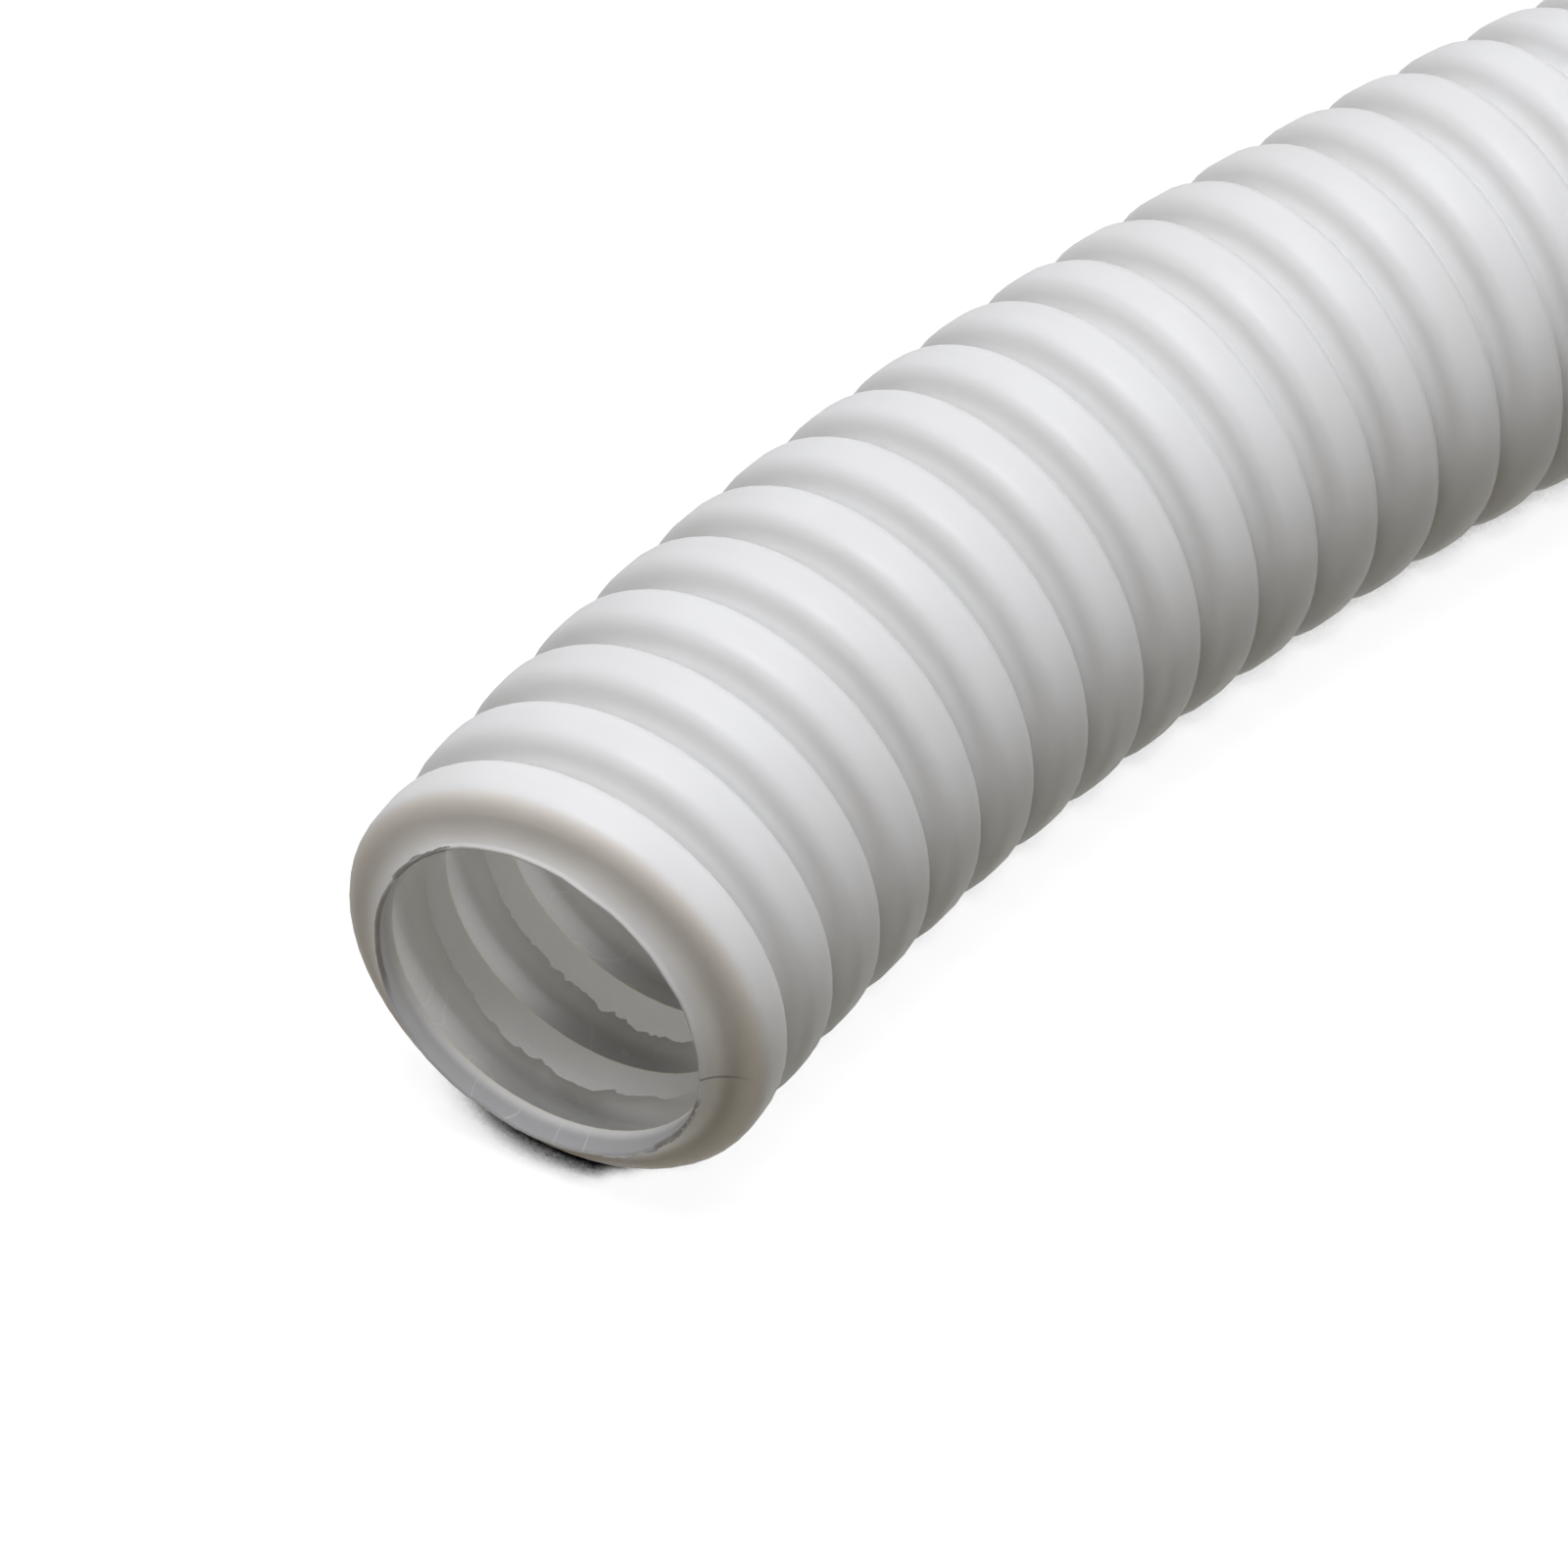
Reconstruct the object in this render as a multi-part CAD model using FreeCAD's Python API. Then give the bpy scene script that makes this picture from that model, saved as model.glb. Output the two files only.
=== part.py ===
import FreeCAD, Part
import os

# Corrugated conduit: one moulded length, trade size 32.
# The origin is the middle of the straight end, and the axis leaves it along -X.
# The other end, the mouth, still curls toward -Y as it came off its coil.
doc = FreeCAD.newDocument("conduit")


# Driving dimensions, millimetres and degrees
DIMENSIONS = (
    # Whole length
    ("outer_diameter", 32.0),
    ("wave_pitch", 6.35),
    ("wave_count", 79),
    # One wave: flat crest and narrow root outside, a broader land inside
    ("wave_depth", 3.4),
    ("wall", 0.4),
    ("crest_width", 3.8),
    ("root_width", 0.9),
    ("land_width", 2.4),
    # What the knife left of the next wave at the mouth
    ("lip_run", 0.7),
    ("lip_rise", 0.2),
    # Curl kept from the coil
    ("curl_angle", 30.5),
    ("curl_waves", 30),
)

dims = doc.addObject("Spreadsheet::Sheet", "dims")
for row, (name, value) in enumerate(DIMENSIONS, start=1):
    dims.set("A%d" % row, name)
    dims.set("B%d" % row, str(value))
    dims.setAlias("B%d" % row, name)
doc.recompute()


# Wave section: distance along the axis from the middle of the wave, and radius
crest_radius = dims.outer_diameter / 2
root_radius = crest_radius - dims.wave_depth
bore_radius = root_radius - dims.wall
crest_edge = dims.crest_width / 2
root_edge = (dims.wave_pitch - dims.root_width) / 2
land_edge = (dims.wave_pitch - dims.land_width) / 2


def corner_shift(run, rise):
    """How far along the axis the inside of a leaning wall turns before its outside."""
    slant = (run ** 2 + rise ** 2) ** 0.5
    return dims.wall * (slant - run) / rise


flank_shift = corner_shift(root_edge - crest_edge, dims.wave_depth)
lip_shift = corner_shift(dims.lip_run, dims.lip_rise)
lip_slant = (dims.lip_run ** 2 + dims.lip_rise ** 2) ** 0.5

OUTSIDE_WAVE = (
    (root_edge, root_radius),
    (crest_edge, crest_radius),
    (-crest_edge, crest_radius),
    (-root_edge, root_radius),
)
OUTSIDE_LIP = (
    (root_edge, root_radius),
    (root_edge - dims.lip_run, root_radius + dims.lip_rise),
)
INSIDE_WAVE = (
    (land_edge, bore_radius),
    (crest_edge - flank_shift, crest_radius - dims.wall),
    (flank_shift - crest_edge, crest_radius - dims.wall),
    (-land_edge, bore_radius),
)
INSIDE_LIP = (
    (root_edge - lip_shift, bore_radius),
    (root_edge - dims.lip_run, root_radius + dims.lip_rise - dims.wall * lip_slant / dims.lip_run),
)


# Route
def along(heading):
    """Unit vector that points down the bore toward the straight end."""
    return FreeCAD.Rotation(FreeCAD.Vector(0, 0, 1), heading).multVec(FreeCAD.Vector(1, 0, 0))


def wave_places():
    """Middle and heading of each wave from the straight end on, and of the cut one.

    Crests stay round and stiff and only the roots between them give, so the run
    turns by a small angle at each root of the curl. The angles grow evenly
    toward the mouth and add up to the curl angle.
    """
    straight_waves = int(dims.wave_count - dims.curl_waves)
    turn_step = 2 * dims.curl_angle / dims.curl_waves ** 2
    heading = 0.0
    middle = along(heading) * (-dims.wave_pitch / 2)
    places = [(middle, heading)]
    for wave in range(1, int(dims.wave_count) + 1):
        valley = middle - along(heading) * (dims.wave_pitch / 2)
        heading += turn_step * max(0.0, wave - straight_waves - 0.5)
        middle = valley - along(heading) * (dims.wave_pitch / 2)
        places.append((middle, heading))
    return places


def hoop(place, offset, radius):
    """Circle square to the bore at an offset from a wave's middle, its seam at the bottom."""
    middle, heading = place
    axis = along(heading)
    down = FreeCAD.Vector(0, 0, -1)
    turn = FreeCAD.Rotation(down, axis.cross(down), axis, "ZXY")
    circle = Part.makeCircle(radius)
    circle.Placement = FreeCAD.Placement(middle + axis * offset, turn)
    return Part.Wire(circle)


def skin(end_radius, wave, lip):
    """Solid inside one face of the wall, ruled from hoop to hoop."""
    places = wave_places()
    hoops = [hoop(places[0], dims.wave_pitch / 2, end_radius)]
    for place in places[:-1]:
        hoops += [hoop(place, offset, radius) for offset, radius in wave]
    hoops += [hoop(places[-1], offset, radius) for offset, radius in lip]
    return Part.makeLoft(hoops, True, True)


outside = doc.addObject("Part::Feature", "outside")
outside.Shape = skin(root_radius, OUTSIDE_WAVE, OUTSIDE_LIP)

inside = doc.addObject("Part::Feature", "inside")
inside.Shape = skin(bore_radius, INSIDE_WAVE, INSIDE_LIP)

conduit = doc.addObject("Part::Cut", "conduit")
conduit.Base = outside
conduit.Tool = inside
conduit.Label = "conduit"
conduit.Placement = FreeCAD.Placement()
doc.recompute()


# Check, then write
for item in doc.Objects:
    if "Invalid" in item.State or "Error" in item.State:
        raise RuntimeError("%s did not build: %s" % (item.Name, item.State))

os.makedirs("parts", exist_ok=True)
for piece in (conduit,):
    if piece.Shape.isNull() or not piece.Shape.isValid():
        raise RuntimeError("%s has no valid shape" % piece.Label)
    piece.Shape.exportStep(os.path.join("parts", piece.Label + ".step"))
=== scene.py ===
import bpy
import bmesh
import math
import random
from mathutils import Matrix, Vector


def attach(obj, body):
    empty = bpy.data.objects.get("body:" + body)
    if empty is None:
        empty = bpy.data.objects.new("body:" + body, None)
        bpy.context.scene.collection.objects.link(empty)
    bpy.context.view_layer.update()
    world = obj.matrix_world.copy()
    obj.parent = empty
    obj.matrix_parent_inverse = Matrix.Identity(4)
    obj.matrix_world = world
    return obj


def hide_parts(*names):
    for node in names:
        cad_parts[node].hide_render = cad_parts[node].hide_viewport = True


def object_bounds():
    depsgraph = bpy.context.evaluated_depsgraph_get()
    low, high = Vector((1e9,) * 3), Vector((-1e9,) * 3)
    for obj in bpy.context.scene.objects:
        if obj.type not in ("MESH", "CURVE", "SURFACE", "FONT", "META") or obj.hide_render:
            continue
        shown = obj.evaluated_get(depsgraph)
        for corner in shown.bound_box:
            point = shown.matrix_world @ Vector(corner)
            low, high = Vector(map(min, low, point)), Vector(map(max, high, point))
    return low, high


# Corrugated conduit lying on a white floor, in metres.
# The straight end is at the origin, and the mouth curls away toward -Y.
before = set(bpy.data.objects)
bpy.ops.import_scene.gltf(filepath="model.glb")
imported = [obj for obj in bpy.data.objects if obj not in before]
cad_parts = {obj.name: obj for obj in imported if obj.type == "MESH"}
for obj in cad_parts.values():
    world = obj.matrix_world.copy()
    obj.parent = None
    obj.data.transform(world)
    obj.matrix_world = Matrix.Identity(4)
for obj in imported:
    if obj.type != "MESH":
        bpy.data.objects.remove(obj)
cad_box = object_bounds()
scene = bpy.context.scene


# Whole length
CREST_RADIUS = 0.016
WAVE_PITCH = 0.00635
WAVE_COUNT = 79
RUN_LENGTH = WAVE_COUNT * WAVE_PITCH
LAST_CREST = RUN_LENGTH - WAVE_PITCH / 2
SEGMENTS = 60

# One wave: a dome that falls ever faster to a narrow root, and a broader land inside
WAVE_DEPTH = 0.0033
DOME_HALF_WIDTH = 0.00275
DOME_POWER = 5
ROOT_ROUNDING = 0.0007
WALL = 0.0004
ROOT_WALL = 0.0005
LAND_WIDTH = 0.0024
LAND_EDGE = (WAVE_PITCH - LAND_WIDTH) / 2
LAND_DEPTH = WAVE_DEPTH + ROOT_WALL
BORE_RADIUS = CREST_RADIUS - LAND_DEPTH

# Corner between a recess and a land: a shoulder, and a small bevel on the edge of the land
SHOULDER_SHARE = 0.91
SHOULDER_DROP = 0.0007
BEVEL_HEIGHT = 0.0001
BEVEL_BEFORE = 0.00001
BEVEL_AFTER = 0.00002

# Waves near the mouth have a finer section, because it is seen from close by
NEAR_WAVES = 10
NEAR_STEPS = 12
FAR_STEPS = 6
NEAR_RECESS_SHARES = (0.0, 0.45, 0.78)
FAR_RECESS_SHARES = (0.0, 0.76)
SURFACE_SAMPLES = 400
TOUCHING = 0.00001
SHARP_FROM = math.radians(60.0)

# The lip that the knife left of the next wave: cut aslant and unevenly, and pressed out of round
LIP_START = 0.00235
LIP_STEPS = 8
LIP_SAG = 1.2
LIP_RUN = 0.00075
LIP_SLANT = 0.0004
LIP_RUN_SWING = 0.0002
LONGEST_LIP = math.radians(28.0)
UNDER_LIP_SHARES = (0.66, 0.33)
RIM_RADIUS = 0.01243
RIM_DROP = 0.0001
RIM_SWING = 0.00036
WIDEST_RIM = math.radians(132.0)
RIM_WALL = 0.00034
RIM_STEPS = 4

# Wobble of the knife: its size, and for each part how many waves go round and where they start
KNIFE_WOBBLE = 0.00004
KNIFE_WAVES = ((5, 1), (11, 0), (19, 2))

# Thin ragged films: flash from the mould on the lands, and burrs from the knife on the rim
FILM = 0.00006
FILM_STEPS = 70
FILM_JUMP = 0.45
FILM_OVERLAP = 0.0001
FLASH_REACH = 0.0009
FLASH_RISE = 0.00015

# Curl kept from the coil, from the middle of a wave to the middle of the one cut off
CURL_ANGLE = math.radians(30.5)
CURL_WAVES = 30
CURL_LENGTH = CURL_WAVES * WAVE_PITCH
CURL_START = (WAVE_COUNT - CURL_WAVES + 0.5) * WAVE_PITCH

# Plastic: two whites in soft clouds, and its sheen
WARM_WHITE = (0.96, 0.95, 0.935)
COOL_WHITE = (0.985, 0.98, 0.97)
CLOUD_SCALE = 90.0
CLOUD_DETAIL = 4.0
CLOUD_LEVELS = (0.35, 0.65)
SMOOTHEST = 0.36
ROUGHEST = 0.48
PLASTIC_IOR = 1.45
PLASTIC_SHEEN = 0.35

# Tints on the plastic, with the depths below the crest or the places along the run where they lie
# Painted shade deep in the recesses
RECESS_SHADE_GREY = (0.79, 0.79, 0.785)
RECESS_DEPTHS = (0.0030, 0.0010)
# Painted shade in the roots outside
ROOT_SHADE_GREY = (0.81, 0.81, 0.80)
ROOT_DEPTHS = (0.0018, 0.0029)
ROOTS_END = (RUN_LENGTH - 0.0015, RUN_LENGTH - 0.003)
# Painted shade on the inside of the lip
LIP_SHADE_GREY = (0.58, 0.585, 0.60)
INNER_LIP = (RUN_LENGTH - 0.001, RUN_LENGTH)
# Painted warm shade on the last flank
FLANK_WARM_SHADE = (0.96, 0.91, 0.84)
LAST_FLANK = (RUN_LENGTH - 0.0013, RUN_LENGTH - 0.0006)
FLANK_BLUR = 0.0006
EDGE_CREAM = (1.0, 0.95, 0.72)
EDGE_LINE = (LAND_EDGE - 0.00004, LAND_EDGE + 0.00006)
EDGE_BLUR = 0.00005
EDGE_DEPTHS = (0.0034, 0.0036)
OUTER_SIDE = (0.6, 0.4)

# Hair lines on the inside
HAIR_WHITE = (1.0, 1.0, 1.0)
HAIR_SCALE = 75.0
HAIR_CROOK = 1.2
HAIR_LEVELS = (0.498, 0.502)
HAIR_BLUR = 0.003
HAIR_STRENGTH = 0.3

# Marks of the knife, soil and painted shade, with their turns round the axis from the right over the top
SOIL_AND_SHADE_BROWN = (0.22, 0.18, 0.14)
# Soil and painted shade on the cut at the left, painted shade along the burrs at the upper left and lower
# right
SOIL_AND_SHADE_LEFT = (math.radians(152.0), math.radians(166.0))
BURR_SHADE_UPPER = (math.radians(128.0), math.radians(150.0))
BURR_SHADE_LOWER = (math.radians(-42.0), math.radians(-14.0))
BURR_SHADE_BLUR = math.radians(4.0)
SOIL_AND_SHADE_NEARNESS = (0.6, 0.95)
SOIL_AND_SHADE_STRENGTH = 0.6
# Painted shade of the short step that the knife left on the lip
SCORE_SHADE_BROWN = (0.45, 0.42, 0.38)
SCORE_TURN = (math.radians(-2.2), math.radians(-1.6))
SCORE_BLUR = math.radians(0.4)
SCORE_RUN = (RUN_LENGTH - 0.0012, RUN_LENGTH - 0.0002)
SCORE_STRENGTH = 0.8

# How much light gets through the wall, and how often it bounces
CREST_GLOW = 0.39
RECESS_GLOW = 0.55
ROOT_GLOW = 0.05
GLOW_DEPTHS = (0.0022, 0.0007)
GLOWING_LIP = (RUN_LENGTH - 0.0006, RUN_LENGTH + 0.0002)
LIGHT_BOUNCES = 12

# Floor: its colours to the light and to the eye, and the shade where the conduit touches it
FLOOR_GAP = 0.0002
FLOOR_HEIGHT = cad_box[0][2] - FLOOR_GAP
FLOOR_SIZE = 2.5
FLOOR_MIDDLE = -0.25
FLOOR_ROUGHNESS = 0.9
FLOOR_LIGHT = (0.115, 0.095, 0.052)
FLOOR_GREY = (0.25, 0.25, 0.25)
FLOOR_WHITE = 0.93
SHADE_BLACK = (0.02, 0.02, 0.025)
SHADE_REACH = 0.012
SHADE_SAMPLES = 16
SHADE_LEVELS = (0.16, 0.24)
UNDER_MOUTH = (-0.4968, -0.0276, FLOOR_HEIGHT)
UNDER_MOUTH_FADE = (0.011, 0.006)
UNDER_MOUTH_SHADE = 0.16

# Lamp and world
LAMP_POWER = 9.85
LAMP_COLOUR = (0.93, 0.945, 1.0)
LAMP_LENGTH = 0.75
LAMP_WIDTH = 0.5
LAMP_PLACE = (-0.43, -0.005, 0.9)
WORLD_LIGHT = 0.03
WHITE = (1.0, 1.0, 1.0, 1.0)

# Camera
CAMERA_PLACE = (-0.687969, -0.339267, 0.381734)
CAMERA_AZIMUTH = math.radians(-34.23)
CAMERA_ELEVATION = math.radians(44.9)
CAMERA_ROLL = math.radians(3.23)
CAMERA_LENS = 184.5
CAMERA_SENSOR = 36.0
CAMERA_CLIP_START = 0.05


# Small helpers for node trees
def put(tree, socket, value):
    """Sets a socket to a value, or links it where the value is another socket."""
    if isinstance(value, bpy.types.NodeSocket):
        tree.links.new(value, socket)
    else:
        socket.default_value = value


def add_node(tree, kind, settings=None, **inputs):
    """Adds a node. Its inputs are given by name, with underscores for spaces."""
    node = tree.nodes.new(kind)
    for name, value in (settings or {}).items():
        setattr(node, name, value)
    for name, value in inputs.items():
        put(tree, node.inputs[name.replace("_", " ")], value)
    return node


def sums(tree, operation, *values):
    """One step of arithmetic on numbers or sockets."""
    node = tree.nodes.new("ShaderNodeMath")
    node.operation = operation
    for socket, value in zip(node.inputs, values):
        put(tree, socket, value)
    return node.outputs[0]


def times(tree, *factors):
    """The product of numbers or sockets."""
    product = factors[0]
    for factor in factors[1:]:
        product = sums(tree, "MULTIPLY", product, factor)
    return product


def vector_sums(tree, operation, first, second):
    """A step of arithmetic on two vectors that gives a number."""
    node = add_node(tree, "ShaderNodeVectorMath", {"operation": operation})
    put(tree, node.inputs[0], first)
    put(tree, node.inputs[1], second)
    return node.outputs["Value"]


def open_tree(name, sizes):
    """A geometry tree with a named input for each size. Returns it and its first node's outputs."""
    tree = bpy.data.node_groups.new(name, "GeometryNodeTree")
    face = tree.interface
    face.new_socket("Geometry", in_out="INPUT", socket_type="NodeSocketGeometry")
    for label, kind in sizes.items():
        face.new_socket(label, in_out="INPUT", socket_type="NodeSocket" + kind)
    face.new_socket("Geometry", in_out="OUTPUT", socket_type="NodeSocketGeometry")
    return tree, tree.nodes.new("NodeGroupInput").outputs


def close_tree(tree, geometry, material):
    """Ends a tree: what it made is turned into plain mesh and gets its material."""
    real = add_node(tree, "GeometryNodeRealizeInstances", Geometry=geometry)
    painted = add_node(tree, "GeometryNodeSetMaterial", Geometry=real.outputs[0], Material=material)
    put(tree, tree.nodes.new("NodeGroupOutput").inputs[0], painted.outputs[0])
    return tree


def run_tree(mesh, tree, sizes):
    """Runs a tree on a mesh with the given sizes, and returns the plain mesh that comes out."""
    source = bpy.data.objects.new(mesh.name, mesh)
    scene.collection.objects.link(source)
    modifier = source.modifiers.new(tree.name, "NODES")
    modifier.node_group = tree
    for item in tree.interface.items_tree:
        if item.in_out == "INPUT" and item.name in sizes:
            modifier[item.identifier] = sizes[item.name]
    graph = bpy.context.evaluated_depsgraph_get()
    result = bpy.data.meshes.new_from_object(source.evaluated_get(graph))
    source.modifiers.clear()
    bpy.data.objects.remove(source)
    return result


# Wave section: distance along the axis and depth below the crest
def outside_depth(offset):
    """Depth of the outside at a distance from the middle of its wave."""
    fall = WAVE_DEPTH * (abs(offset) / DOME_HALF_WIDTH) ** DOME_POWER
    overlap = max(0.0, ROOT_ROUNDING - abs(WAVE_DEPTH - fall))
    return min(WAVE_DEPTH, fall) - overlap ** 2 / (4 * ROOT_ROUNDING)


def outside_half(steps):
    """Points from crest to root, evenly spaced along the surface."""
    samples = [WAVE_PITCH / 2 * number / SURFACE_SAMPLES for number in range(SURFACE_SAMPLES + 1)]
    points = [Vector((offset, outside_depth(offset))) for offset in samples]
    travelled = [0.0]
    for before, after in zip(points, points[1:]):
        travelled.append(travelled[-1] + (after - before).length)
    half = []
    for number in range(steps):
        target = travelled[-1] * number / steps
        half.append(next(point for point, way in zip(points, travelled) if way >= target))
    return half + [points[-1]]


def inside_half(fine):
    """Points from the middle of the recess to the middle of the land."""
    shares = NEAR_RECESS_SHARES if fine else FAR_RECESS_SHARES
    half = [Vector((LAND_EDGE * share, outside_depth(LAND_EDGE * share) + WALL)) for share in shares]
    if fine:
        half.append(Vector((LAND_EDGE * SHOULDER_SHARE, WALL + SHOULDER_DROP)))
        half.append(Vector((LAND_EDGE - BEVEL_BEFORE, LAND_DEPTH - BEVEL_HEIGHT)))
    half.append(Vector((LAND_EDGE + BEVEL_AFTER, LAND_DEPTH)))
    half.append(Vector((WAVE_PITCH / 2, LAND_DEPTH)))
    return half


def mirrored(half):
    """A whole section from its half, with the first point in the middle."""
    return [Vector((-point.x, point.y)) for point in reversed(half[1:])] + half


def section_mesh(steps):
    """The outside and the inside of one wave as two open lines."""
    mesh = bpy.data.meshes.new("wave_section")
    outside = mirrored(outside_half(steps))
    inside = list(reversed(mirrored(inside_half(steps == NEAR_STEPS))))
    points = [(-point.y, point.x, 0.0) for point in outside + inside]
    last = len(points) - 1
    edges = [(number, number + 1) for number in range(last) if number != len(outside) - 1]
    mesh.from_pydata(points, edges, [])
    return mesh


# Trees
def wave_run_tree():
    """Turns one wave's section into a ring and repeats it along the axis."""
    tree, size = open_tree("Wave run", {
        "Waves": "Int", "First wave": "Float", "Pitch": "Float",
        "Crest radius": "Float", "Segments": "Int", "Material": "Material"})
    circle = add_node(tree, "GeometryNodeCurvePrimitiveCircle",
                      Resolution=size["Segments"], Radius=size["Crest radius"])
    section = add_node(tree, "GeometryNodeMeshToCurve", Mesh=size["Geometry"])
    ring = add_node(tree, "GeometryNodeCurveToMesh",
                    Curve=circle.outputs["Curve"], Profile_Curve=section.outputs[0])
    turned = add_node(tree, "GeometryNodeTransform",
                      Geometry=ring.outputs[0], Rotation=(0.0, math.pi / 2, 0.0))
    backward = sums(tree, "MULTIPLY", size["Pitch"], -1.0)
    middle = sums(tree, "MULTIPLY", sums(tree, "ADD", size["First wave"], 0.5), backward)
    start = add_node(tree, "ShaderNodeCombineXYZ", X=middle)
    step = add_node(tree, "ShaderNodeCombineXYZ", X=backward)
    places = add_node(tree, "GeometryNodeMeshLine", Count=size["Waves"],
                      Start_Location=start.outputs[0], Offset=step.outputs[0])
    waves = add_node(tree, "GeometryNodeInstanceOnPoints",
                     Points=places.outputs[0], Instance=turned.outputs[0])
    return close_tree(tree, waves.outputs[0], size["Material"])


def keep_on_points(tree, geometry, name, kind, value):
    """Keeps a value on the points, under a name that the material reads."""
    node = add_node(tree, "GeometryNodeStoreNamedAttribute", {"data_type": kind, "domain": "POINT"},
                    Geometry=geometry, Name=name, Value=value)
    return node.outputs[0]


def looks_inward(tree, place):
    """1 where a skin faces the axis, which makes it the inside of the wall, and 0 elsewhere."""
    away = add_node(tree, "ShaderNodeCombineXYZ", Y=place["Y"], Z=place["Z"]).outputs[0]
    normal = tree.nodes.new("GeometryNodeInputNormal").outputs[0]
    return sums(tree, "LESS_THAN", vector_sums(tree, "DOT_PRODUCT", away, normal), 0.0)


def coil_curl_tree():
    """Bends the last part of a straight conduit by an angle that grows with the square of the way along."""
    tree, size = open_tree("Coil curl", {
        "Curl start": "Float", "Curl length": "Float", "Curl angle": "Float", "Material": "Material"})
    straight = tree.nodes.new("GeometryNodeInputPosition").outputs[0]
    place = add_node(tree, "ShaderNodeSeparateXYZ", Vector=straight).outputs
    marked = keep_on_points(tree, size["Geometry"], "straight", "FLOAT_VECTOR", straight)
    marked = keep_on_points(tree, marked, "inner", "FLOAT", looks_inward(tree, place))
    along = sums(tree, "MULTIPLY", place["X"], -1.0)
    way = sums(tree, "MAXIMUM", sums(tree, "SUBTRACT", along, size["Curl start"]), 0.0)
    share = sums(tree, "DIVIDE", way, size["Curl length"])
    heading = sums(tree, "MULTIPLY", sums(tree, "POWER", share, 2.0), size["Curl angle"])
    # Over a way w with the heading h, the centre line runs w * (1 - h^2 / 10) on
    # and w * h * (1/3 - h^2 / 42) aside, by the first terms of the two series
    squared = sums(tree, "POWER", heading, 2.0)
    shorter = sums(tree, "MULTIPLY", sums(tree, "DIVIDE", squared, 10.0), way)
    terms = sums(tree, "SUBTRACT", 1.0 / 3.0, sums(tree, "DIVIDE", squared, 42.0))
    sideways = sums(tree, "MULTIPLY", sums(tree, "MULTIPLY", heading, terms), way)
    # The ring turns with the heading
    lean = sums(tree, "MULTIPLY", place["Y"], sums(tree, "SINE", heading))
    reach = sums(tree, "MULTIPLY", place["Y"], sums(tree, "COSINE", heading))
    x = sums(tree, "SUBTRACT", sums(tree, "SUBTRACT", shorter, along), lean)
    y = sums(tree, "SUBTRACT", reach, sideways)
    bent = add_node(tree, "ShaderNodeCombineXYZ", X=x, Y=y, Z=place["Z"])
    moved = add_node(tree, "GeometryNodeSetPosition", Geometry=marked, Position=bent.outputs[0])
    smooth = add_node(tree, "GeometryNodeSetShadeSmooth", Geometry=moved.outputs[0])
    return close_tree(tree, smooth.outputs[0], size["Material"])


# Ends of the conduit
def swing(turn, peak):
    """A wave with two crests round the axis, one of them at the turn called peak."""
    return math.cos(2 * (turn - peak))


def lip_end(turn):
    """Distance along the axis from the last crest's middle to the rim, at a turn round the axis."""
    wobble = KNIFE_WOBBLE * sum(math.sin(count * turn + start) for count, start in KNIFE_WAVES)
    longer = LIP_RUN_SWING * swing(turn, LONGEST_LIP)
    return WAVE_PITCH / 2 + LIP_RUN - LIP_SLANT * math.sin(turn) + longer + wobble


def rim_radius(turn):
    """Radius of the rim at a turn round the axis."""
    return RIM_RADIUS - RIM_DROP * math.sin(turn) + RIM_SWING * swing(turn, WIDEST_RIM)


def lip_top(end, rim):
    """Outside of the lip, which sags from the last crest's flank toward the rim."""
    top = CREST_RADIUS - outside_depth(LIP_START)
    points = []
    for step in range(LIP_STEPS):
        share = step / LIP_STEPS
        fall = (1 - math.exp(-LIP_SAG * share)) / (1 - math.exp(-LIP_SAG))
        points.append((LIP_START + (end - LIP_START) * share, top + (rim - top) * fall, 0.0))
    return points


def lip_outline(turn):
    """Offset, radius and nearness to the cut, from the last crest over the lip and back to the recess."""
    crest = [point for point in outside_half(NEAR_STEPS) if point.x < LIP_START]
    outline = [(point.x, CREST_RADIUS - point.y, 0.0) for point in crest]
    half_wall = RIM_WALL / 2
    end = lip_end(turn) - half_wall
    middle = rim_radius(turn) - half_wall
    outline += lip_top(end, middle + half_wall)
    for step in range(RIM_STEPS + 1):
        lean = math.pi * (0.5 - step / RIM_STEPS)
        near = min(1.0, 0.5 + step / RIM_STEPS)
        outline.append((end + half_wall * math.cos(lean), middle + half_wall * math.sin(lean), near))
    inner_end = middle - half_wall
    for share in UNDER_LIP_SHARES:
        offset = LAND_EDGE + (end - LAND_EDGE) * share
        outline.append((offset, BORE_RADIUS + (inner_end - BORE_RADIUS) * share ** 2, 0.0))
    recess = list(reversed(inside_half(True)))[1:]
    return outline + [(point.x, CREST_RADIUS - point.y, 0.0) for point in recess]


def ring_turns(count):
    """Evenly spaced turns round the axis."""
    return [2 * math.pi * number / count for number in range(count)]


def at_turn(turn, along, radius):
    """A point of the straight conduit, at a distance along -X and a turn from the right over the top."""
    return Vector((-along, -radius * math.cos(turn), radius * math.sin(turn)))


def join_loops(bm, loops, closed):
    """Faces between lines of points, each line closed on itself or open."""
    count = len(loops[0])
    for first, second in zip(loops, loops[1:]):
        for number in range(count if closed else count - 1):
            after = (number + 1) % count
            bm.faces.new((first[number], first[after], second[after], second[number]))


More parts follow.
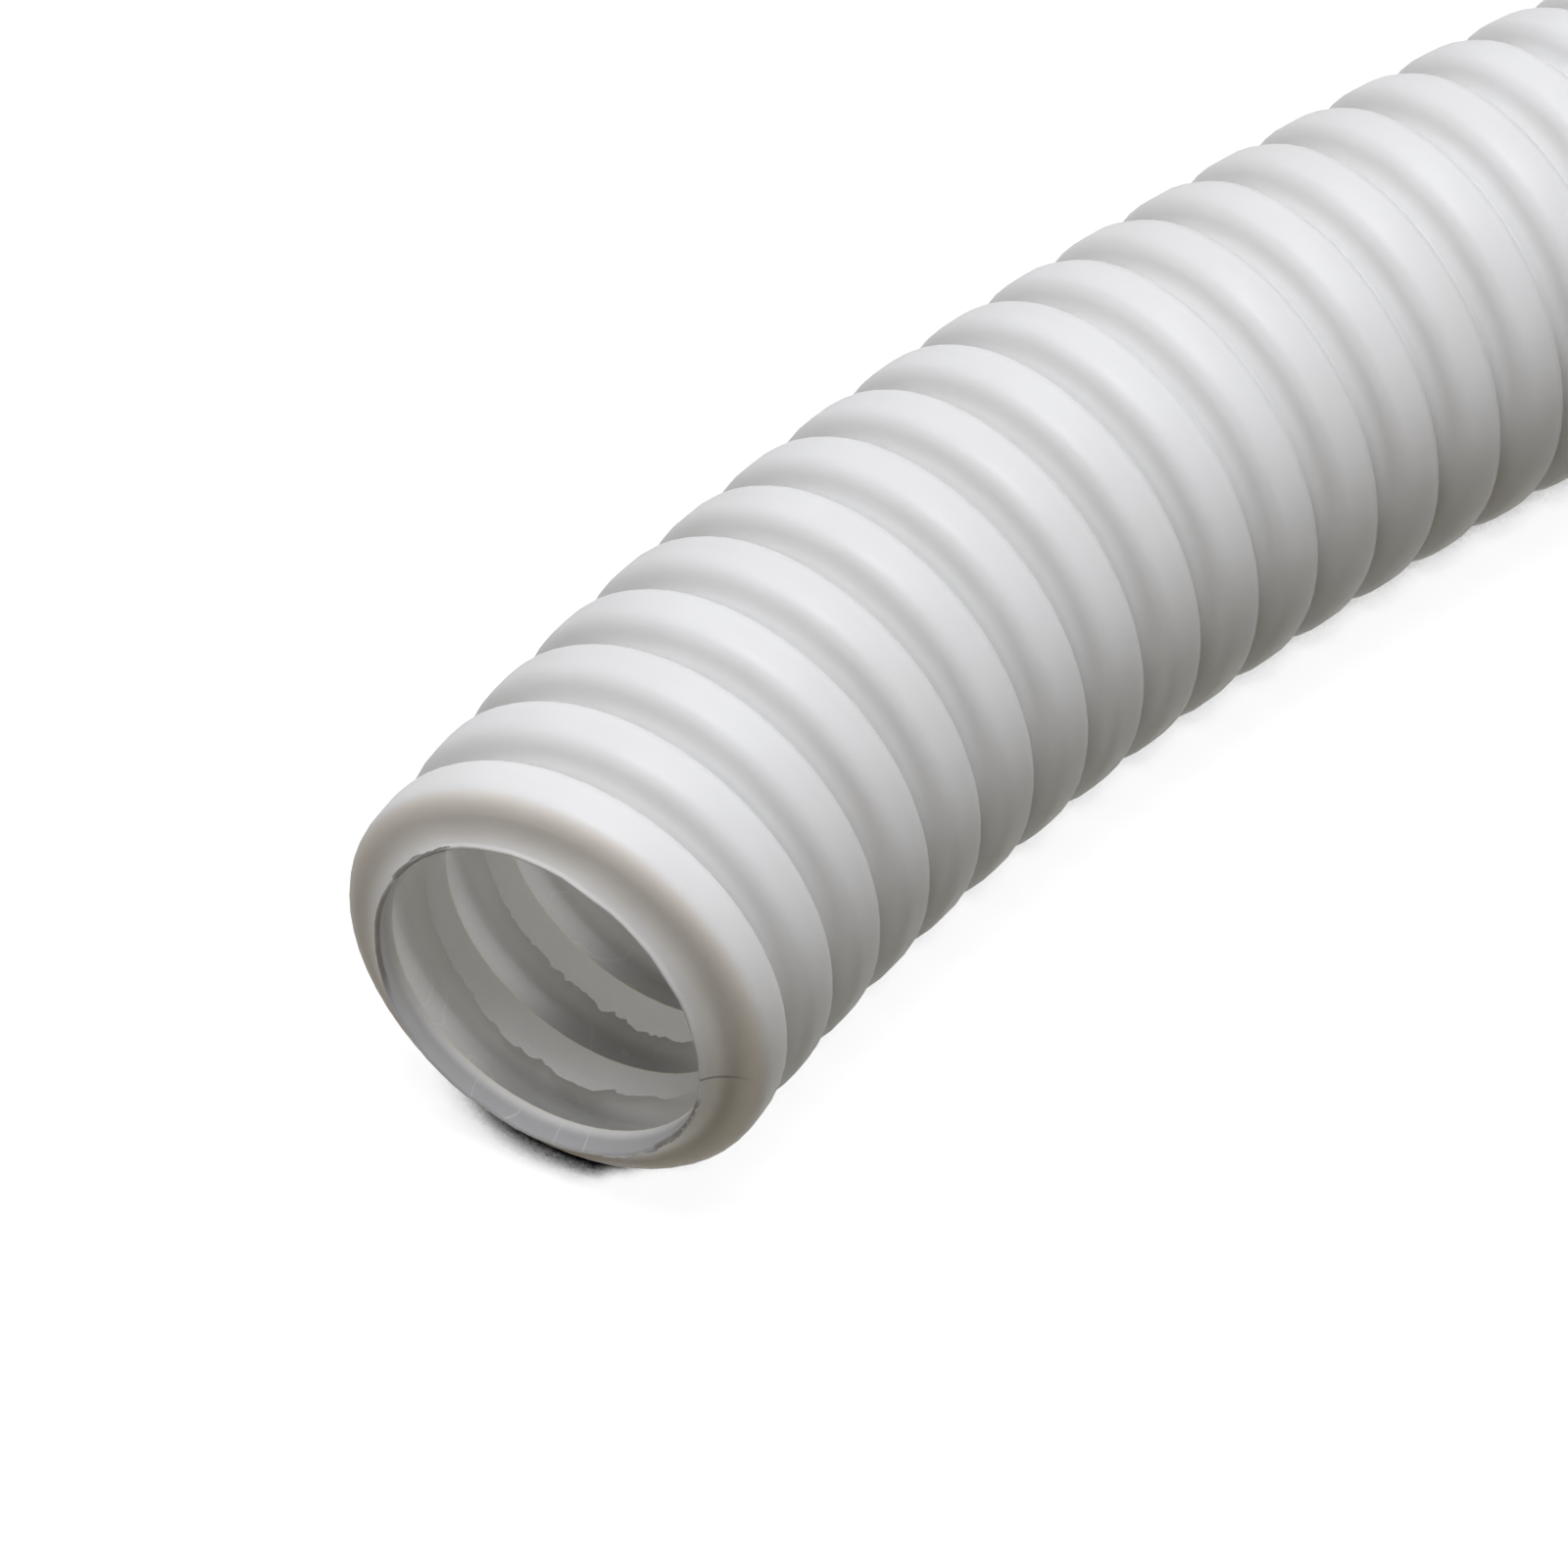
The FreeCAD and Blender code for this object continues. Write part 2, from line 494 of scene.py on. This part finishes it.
def add_mouth(bm):
    """The front of the last wave and the lip, in place of the half wave that the run ends in."""
    front = [vert for vert in bm.verts if -vert.co.x > LAST_CREST + TOUCHING]
    bmesh.ops.delete(bm, geom=front, context="VERTS")
    cut = bm.verts.layers.float.new("cut")
    spokes = []
    for turn in ring_turns(SEGMENTS):
        spoke = []
        for offset, radius, near in lip_outline(turn):
            vert = bm.verts.new(at_turn(turn, LAST_CREST + offset, radius))
            vert[cut] = near
            spoke.append(vert)
        spokes.append(spoke)
    join_loops(bm, spokes + spokes[:1], False)


def add_tail(bm):
    """The straight end, cut square in the middle of a root."""
    rings = []
    for radius in (BORE_RADIUS, CREST_RADIUS - WAVE_DEPTH):
        rings.append([bm.verts.new(at_turn(turn, 0.0, radius)) for turn in ring_turns(SEGMENTS)])
    join_loops(bm, rings, True)


def add_film(bm, first, last, seed, root, tip):
    """A thin ragged strip between two turns in degrees.

    root gives its edge in the wall at a turn, and tip its free edge at a turn and a reach.
    """
    chance = random.Random(seed)
    rag = 0.5
    bands = []
    for step in range(FILM_STEPS + 1):
        share = step / FILM_STEPS
        turn = math.radians(first + (last - first) * share)
        rag = min(1.0, max(0.0, rag + chance.uniform(-FILM_JUMP, FILM_JUMP)))
        reach = rag * math.sin(math.pi * share) ** 0.5
        root_along, root_radius = root(turn)
        tip_along, tip_radius = tip(turn, reach)
        corners = ((root_along, root_radius), (tip_along, tip_radius),
                   (tip_along, tip_radius + FILM / 2), (root_along, root_radius + FILM))
        bands.append([bm.verts.new(at_turn(turn, along, radius)) for along, radius in corners])
    join_loops(bm, bands, True)
    bm.faces.new(bands[0])
    bm.faces.new(bands[-1])


def add_flash(bm, land, first, last, seed):
    """Flash along the edge of an inner land that looks toward the mouth. Lands count from the mouth."""
    edge = RUN_LENGTH - land * WAVE_PITCH + LAND_WIDTH / 2
    add_film(bm, first, last, seed,
             lambda turn: (edge - FILM_OVERLAP, BORE_RADIUS - FILM / 2),
             lambda turn, reach: (edge + FLASH_REACH * reach, BORE_RADIUS - FLASH_RISE * reach))


def add_burr(bm, first, last, seed, back, lift):
    """A sliver that the knife left standing on the rim, bent back over the lip or out from it."""
    add_film(bm, first, last, seed,
             lambda turn: (LAST_CREST + lip_end(turn) - FILM_OVERLAP, rim_radius(turn) - FILM_OVERLAP),
             lambda turn, reach: (LAST_CREST + lip_end(turn) - back * reach,
                                  rim_radius(turn) + lift * reach))


# The conduit
def add_waves(bm, material):
    """The whole run of waves, in the coarser section and then in the finer one."""
    tree = wave_run_tree()
    far = WAVE_COUNT - NEAR_WAVES
    for steps, first, waves in ((FAR_STEPS, 0, far), (NEAR_STEPS, far, NEAR_WAVES)):
        bm.from_mesh(run_tree(section_mesh(steps), tree, {
            "Waves": waves, "First wave": float(first), "Pitch": WAVE_PITCH,
            "Crest radius": CREST_RADIUS, "Segments": SEGMENTS, "Material": material}))


def straight_conduit(material):
    """All waves and both ends as one closed mesh, and the films on it, before it is curled."""
    bm = bmesh.new()
    add_waves(bm, material)
    add_mouth(bm)
    add_tail(bm)
    bmesh.ops.remove_doubles(bm, verts=bm.verts, dist=TOUCHING)
    add_flash(bm, land=1, first=-150.0, last=-18.0, seed=3)
    add_flash(bm, land=2, first=-150.0, last=-40.0, seed=8)
    add_burr(bm, first=124.0, last=152.0, seed=5, back=0.0001, lift=0.0001)
    add_burr(bm, first=-66.0, last=-10.0, seed=11, back=-0.0002, lift=-0.0004)
    bmesh.ops.recalc_face_normals(bm, faces=bm.faces)
    mesh = bpy.data.meshes.new("conduit_straight")
    bm.to_mesh(mesh)
    bm.free()
    return mesh


def build_conduit(material):
    mesh = run_tree(straight_conduit(material), coil_curl_tree(), {
        "Curl start": CURL_START, "Curl length": CURL_LENGTH,
        "Curl angle": CURL_ANGLE, "Material": material})
    mesh.name = "conduit_skin"
    mesh.set_sharp_from_angle(angle=SHARP_FROM)
    skin = bpy.data.objects.new("conduit_skin", mesh)
    scene.collection.objects.link(skin)
    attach(skin, "root")
    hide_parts("conduit")


# Helpers for materials
def new_material(name):
    material = bpy.data.materials.new(name)
    material.use_nodes = True
    return material, material.node_tree, material.node_tree.nodes["Principled BSDF"]


def climb(tree, value, low, high):
    """0 before low and 1 past high, with a smooth climb between. low may be the greater."""
    node = add_node(tree, "ShaderNodeMapRange", {"interpolation_type": "SMOOTHSTEP"},
                    Value=value, From_Min=low, From_Max=high)
    return node.outputs[0]


def band(tree, value, low, high, blur):
    """1 between low and high, fading to 0 over the blur on either side."""
    rise = climb(tree, value, low - blur, low)
    return times(tree, rise, climb(tree, value, high + blur, high))


def between(tree, share, first, last):
    """A number that goes evenly from first to last as the share goes from 0 to 1."""
    return add_node(tree, "ShaderNodeMapRange", Value=share, To_Min=first, To_Max=last).outputs[0]


def blend(tree, factor, first, second):
    """A mix of two colours, each a socket or three numbers."""
    node = add_node(tree, "ShaderNodeMix", {"data_type": "RGBA"}, Factor=factor)
    # The colours of this node are its inputs 6 and 7 and its output 2
    for socket, colour in ((node.inputs[6], first), (node.inputs[7], second)):
        put(tree, socket, colour if isinstance(colour, bpy.types.NodeSocket) else (*colour, 1.0))
    return node.outputs[2]


def object_place(tree):
    """Where a point is on its object."""
    return tree.nodes.new("ShaderNodeTexCoord").outputs["Object"]


def kept_value(tree, name, output):
    """What the points of the mesh carry under a name."""
    return add_node(tree, "ShaderNodeAttribute", {"attribute_name": name}).outputs[output]


# The plastic
def wall_places(tree):
    """Where a point of the wall was before the curl, and on which side of the wall it lies."""
    place = add_node(tree, "ShaderNodeSeparateXYZ", Vector=kept_value(tree, "straight", "Vector")).outputs
    along = sums(tree, "MULTIPLY", place["X"], -1.0)
    square = sums(tree, "ADD", sums(tree, "POWER", place["Y"], 2.0), sums(tree, "POWER", place["Z"], 2.0))
    inner = kept_value(tree, "inner", "Fac")
    return {
        "along": along,
        "turn": sums(tree, "ARCTAN2", place["Z"], sums(tree, "MULTIPLY", place["Y"], -1.0)),
        "offset": sums(tree, "SUBTRACT", sums(tree, "FLOORED_MODULO", along, WAVE_PITCH), WAVE_PITCH / 2),
        "depth": sums(tree, "SUBTRACT", CREST_RADIUS, sums(tree, "SQRT", square)),
        "inner": inner,
        "outer": climb(tree, inner, *OUTER_SIDE),
    }


def recess_shade(tree, wall):
    """Painted shade deep in the recesses behind the crests."""
    return times(tree, wall["inner"], climb(tree, wall["depth"], *RECESS_DEPTHS))


def root_shade(tree, wall):
    """Painted shade in the roots outside, apart from the last one."""
    deep = climb(tree, wall["depth"], *ROOT_DEPTHS)
    return times(tree, wall["outer"], deep, climb(tree, wall["along"], *ROOTS_END))


def lip_shade(tree, wall):
    """Painted shade on the inside of the lip."""
    return times(tree, wall["inner"], climb(tree, wall["along"], *INNER_LIP))


def last_flank(tree, wall):
    """Painted warm shade on the outside where the last crest falls to the lip."""
    return times(tree, wall["outer"], band(tree, wall["along"], *LAST_FLANK, FLANK_BLUR))


def land_edge_line(tree, wall):
    """A thin line along the edge of each land that looks away from the mouth."""
    line = band(tree, wall["offset"], *EDGE_LINE, EDGE_BLUR)
    return times(tree, wall["inner"], line, climb(tree, wall["depth"], *EDGE_DEPTHS))


def hair_lines(tree, wall):
    """A few faint, crooked hair lines on the inside, left by the mould."""
    noise = add_node(tree, "ShaderNodeTexNoise",
                     Vector=object_place(tree), Scale=HAIR_SCALE, Distortion=HAIR_CROOK)
    return times(tree, wall["inner"], band(tree, noise.outputs[0], *HAIR_LEVELS, HAIR_BLUR), HAIR_STRENGTH)


def cut_soil_and_shade(tree, wall):
    """Soil and painted shade on the rough cut at the left of the rim, and painted shade along the burrs and
    cracks at its upper left and lower right.
    """
    turn = wall["turn"]
    left = climb(tree, sums(tree, "ABSOLUTE", turn), *SOIL_AND_SHADE_LEFT)
    upper = band(tree, turn, *BURR_SHADE_UPPER, BURR_SHADE_BLUR)
    lower = band(tree, turn, *BURR_SHADE_LOWER, BURR_SHADE_BLUR)
    places = sums(tree, "MAXIMUM", left, sums(tree, "MAXIMUM", upper, lower))
    near = climb(tree, kept_value(tree, "cut", "Fac"), *SOIL_AND_SHADE_NEARNESS)
    return times(tree, near, places, SOIL_AND_SHADE_STRENGTH)


def knife_slip_shade(tree, wall):
    """Painted shade of the short step across the right of the lip, where the knife set in again."""
    across = band(tree, wall["turn"], *SCORE_TURN, SCORE_BLUR)
    lip = times(tree, climb(tree, wall["along"], *SCORE_RUN), wall["outer"])
    return times(tree, across, lip, SCORE_STRENGTH)


def plastic_tint(tree, wall, clouds):
    """Nearly white, with painted shade wherever the wall is deeper and on the last flank, tints where it is
    marked, and soil and painted shade where it is cut.
    """
    tint = blend(tree, climb(tree, clouds, *CLOUD_LEVELS), WARM_WHITE, COOL_WHITE)
    coats = (
        (recess_shade, RECESS_SHADE_GREY),
        (root_shade, ROOT_SHADE_GREY),
        (lip_shade, LIP_SHADE_GREY),
        (last_flank, FLANK_WARM_SHADE),
        (land_edge_line, EDGE_CREAM),
        (hair_lines, HAIR_WHITE),
        (cut_soil_and_shade, SOIL_AND_SHADE_BROWN),
        (knife_slip_shade, SCORE_SHADE_BROWN),
    )
    for cover, colour in coats:
        tint = blend(tree, cover(tree, wall), tint, colour)
    return tint


def wall_glow(tree, wall):
    """The share of light that gets through: most where the wall is blown thin, least at the roots."""
    lip = climb(tree, wall["along"], *GLOWING_LIP)
    thin = sums(tree, "MAXIMUM", climb(tree, wall["depth"], *GLOW_DEPTHS), lip)
    recess = times(tree, wall["inner"], climb(tree, lip, 1.0, 0.0))
    return between(tree, thin, ROOT_GLOW, between(tree, recess, CREST_GLOW, RECESS_GLOW))


def white_plastic():
    """Satin moulded plastic that lets light through, the most where the wall is blown thin."""
    material, tree, shader = new_material("conduit_plastic")
    clouds = add_node(tree, "ShaderNodeTexNoise",
                      Vector=object_place(tree), Scale=CLOUD_SCALE, Detail=CLOUD_DETAIL).outputs[0]
    wall = wall_places(tree)
    tint = plastic_tint(tree, wall, clouds)
    put(tree, shader.inputs["Base Color"], tint)
    put(tree, shader.inputs["Roughness"], between(tree, clouds, SMOOTHEST, ROUGHEST))
    shader.inputs["IOR"].default_value = PLASTIC_IOR
    shader.inputs["Specular IOR Level"].default_value = PLASTIC_SHEEN
    glow = add_node(tree, "ShaderNodeBsdfTranslucent", Color=tint)
    both = add_node(tree, "ShaderNodeMixShader", Fac=wall_glow(tree, wall))
    put(tree, both.inputs[1], shader.outputs[0])
    put(tree, both.inputs[2], glow.outputs[0])
    put(tree, tree.nodes["Material Output"].inputs["Surface"], both.outputs[0])
    return material


# The floor
def white_to_view(tree):
    """1 for rays that show a surface, straight, mirrored or through glass, and 0 for rays that light it."""
    rays = tree.nodes.new("ShaderNodeLightPath").outputs
    seen = sums(tree, "MAXIMUM", rays["Is Camera Ray"], rays["Is Glossy Ray"])
    return sums(tree, "MAXIMUM", seen, rays["Is Transmission Ray"])


def open_floor(tree):
    """1 on the open floor and 0 in the shade where the conduit touches it, which is widest at the mouth."""
    sky = add_node(tree, "ShaderNodeAmbientOcclusion", {"samples": SHADE_SAMPLES}, Distance=SHADE_REACH)
    away = vector_sums(tree, "DISTANCE", object_place(tree), UNDER_MOUTH)
    beneath = times(tree, climb(tree, away, *UNDER_MOUTH_FADE), UNDER_MOUTH_SHADE)
    return climb(tree, sums(tree, "SUBTRACT", sky.outputs["AO"], beneath), *SHADE_LEVELS)


def white_floor():
    """White to the eye and a warm dark grey to the light, with dark shade where the conduit touches."""
    material, tree, shader = new_material("floor_white")
    shader.inputs["Roughness"].default_value = FLOOR_ROUGHNESS
    shader.inputs["Specular IOR Level"].default_value = 0.0
    shader.inputs["Emission Color"].default_value = WHITE
    seen = white_to_view(tree)
    clear = open_floor(tree)
    bare = blend(tree, clear, SHADE_BLACK, FLOOR_GREY)
    put(tree, shader.inputs["Base Color"], blend(tree, seen, FLOOR_LIGHT, bare))
    put(tree, shader.inputs["Emission Strength"], times(tree, seen, clear, FLOOR_WHITE))
    return material


def lay_floor():
    mesh = bpy.data.meshes.new("floor")
    bm = bmesh.new()
    bmesh.ops.create_grid(bm, x_segments=1, y_segments=1, size=FLOOR_SIZE)
    bmesh.ops.translate(bm, verts=bm.verts, vec=(FLOOR_MIDDLE, 0.0, FLOOR_HEIGHT))
    bm.to_mesh(mesh)
    bm.free()
    floor = bpy.data.objects.new("floor", mesh)
    scene.collection.objects.link(floor)
    mesh.materials.append(white_floor())


# Light and camera
def hang_lamp():
    """One soft rectangle overhead, longer along the conduit, that shines straight down."""
    lamp = bpy.data.lights.new("overhead_softbox", "AREA")
    lamp.shape = "RECTANGLE"
    lamp.size = LAMP_LENGTH
    lamp.size_y = LAMP_WIDTH
    lamp.energy = LAMP_POWER
    lamp.color = LAMP_COLOUR
    holder = bpy.data.objects.new("overhead_softbox", lamp)
    scene.collection.objects.link(holder)
    turn = Vector((0.0, 0.0, -1.0)).to_track_quat("-Z", "Y")
    holder.matrix_world = Matrix.Translation(LAMP_PLACE) @ turn.to_matrix().to_4x4()


def light_world():
    """A white background that adds only a little light."""
    world = bpy.data.worlds.new("studio")
    scene.world = world
    world.use_nodes = True
    tree = world.node_tree
    background = tree.nodes["Background"]
    put(tree, background.inputs["Color"], WHITE)
    put(tree, background.inputs["Strength"], between(tree, white_to_view(tree), WORLD_LIGHT, 1.0))


def place_camera():
    """Looks down on the mouth at about 45 degrees, from beyond it and to its side."""
    camera = bpy.data.cameras.new("camera")
    camera.sensor_width = CAMERA_SENSOR
    camera.lens = CAMERA_LENS
    camera.clip_start = CAMERA_CLIP_START
    holder = bpy.data.objects.new("camera", camera)
    scene.collection.objects.link(holder)
    level_right = Vector((math.cos(CAMERA_AZIMUTH), math.sin(CAMERA_AZIMUTH), 0.0))
    level_forward = Vector((-math.sin(CAMERA_AZIMUTH), math.cos(CAMERA_AZIMUTH), 0.0))
    down = Vector((0.0, 0.0, -math.sin(CAMERA_ELEVATION)))
    forward = level_forward * math.cos(CAMERA_ELEVATION) + down
    level_up = level_right.cross(forward)
    right = level_right * math.cos(CAMERA_ROLL) + level_up * math.sin(CAMERA_ROLL)
    up = right.cross(forward)
    turn = Matrix((right, up, -forward)).transposed().to_4x4()
    holder.matrix_world = Matrix.Translation(CAMERA_PLACE) @ turn
    scene.camera = holder


scene.view_settings.view_transform = "Standard"
scene.cycles.diffuse_bounces = LIGHT_BOUNCES
build_conduit(white_plastic())
lay_floor()
hang_lamp()
light_world()
place_camera()
